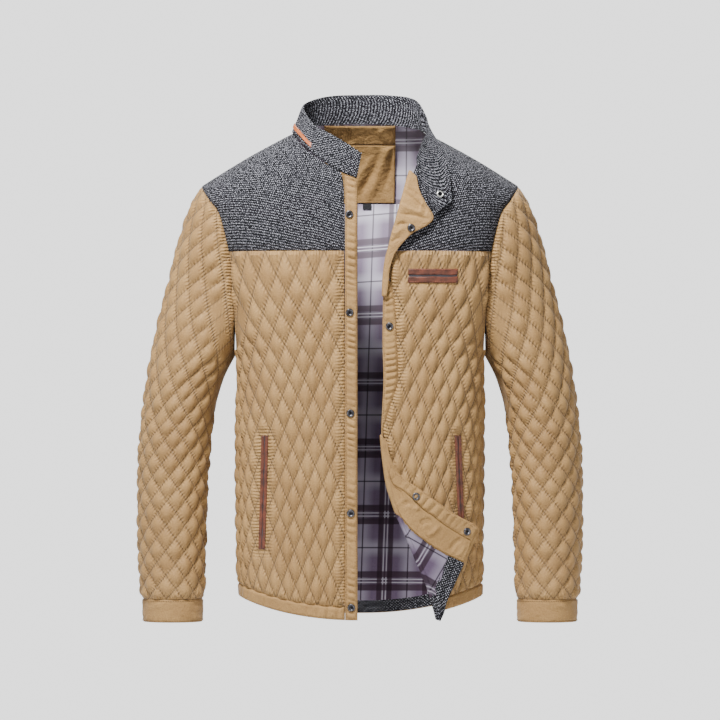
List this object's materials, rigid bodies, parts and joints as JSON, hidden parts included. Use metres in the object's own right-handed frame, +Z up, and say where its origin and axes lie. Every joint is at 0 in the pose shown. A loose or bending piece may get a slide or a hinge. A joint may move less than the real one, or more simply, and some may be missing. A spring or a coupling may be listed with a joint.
{
  "type": "quilted jacket",
  "caption": "Quilted jacket with tweed yokes and collar, leather-trimmed pockets and press snaps, hollow and open at neck, hem, cuffs and front.",
  "frame": {"origin": "middle of the neck base, where the jacket rests on its wearer's shoulders", "axes": "+Z up, the front towards -Y, the wearer's left at +X"},
  "size_m": [0.6352, 0.2499, 0.7552],
  "materials": {
    "quilted_shell": "diamond-quilted polyester shell",
    "plain_shell": "plain polyester shell cloth",
    "tweed": "fine black and grey tweed",
    "plaid_lining": "brushed cotton plaid lining",
    "leather": "smooth brown leather",
    "snap_metal": "dark gunmetal",
    "label": "plain woven label, bare"
  },
  "bodies": {
    "root": {"front_right": "quilted_shell", "front_left": "quilted_shell", "back_panel": "quilted_shell", "sleeve_right": "quilted_shell", "sleeve_left": "quilted_shell", "corner_shell": "quilted_shell", "lapel_left": "quilted_shell", "cuff_right": "plain_shell", "cuff_left": "plain_shell", "placket_right": "plain_shell", "placket_left": "plain_shell", "hem_band_right": "plain_shell", "hem_band_left": "plain_shell", "hem_band_back": "plain_shell", "corner_placket": "plain_shell", "corner_facing": "plain_shell", "neck_facing": "plain_shell", "locker_patch": "plain_shell", "yoke_front_right": "tweed", "yoke_front_left": "tweed", "yoke_back": "tweed", "collar": "tweed", "corner_hem_facing": "tweed", "hem_facing_back": "tweed", "lining_back": "plaid_lining", "corner_lining": "plaid_lining", "collar_tab": "leather", "hand_welt_right_outer": "leather", "hand_welt_right_inner": "leather", "hand_welt_left_outer": "leather", "hand_welt_left_inner": "leather", "chest_welt_upper": "leather", "chest_welt_lower": "leather", "snap_placket_1": "snap_metal", "snap_placket_2": "snap_metal", "snap_placket_3": "snap_metal", "snap_placket_4": "snap_metal", "snap_placket_5": "snap_metal", "snap_edge_left": "snap_metal", "snap_lapel": "snap_metal", "snap_corner_1": "snap_metal", "snap_corner_2": "snap_metal", "snap_collar": "snap_metal", "neck_label": "label"}
  },
  "joints": []
}
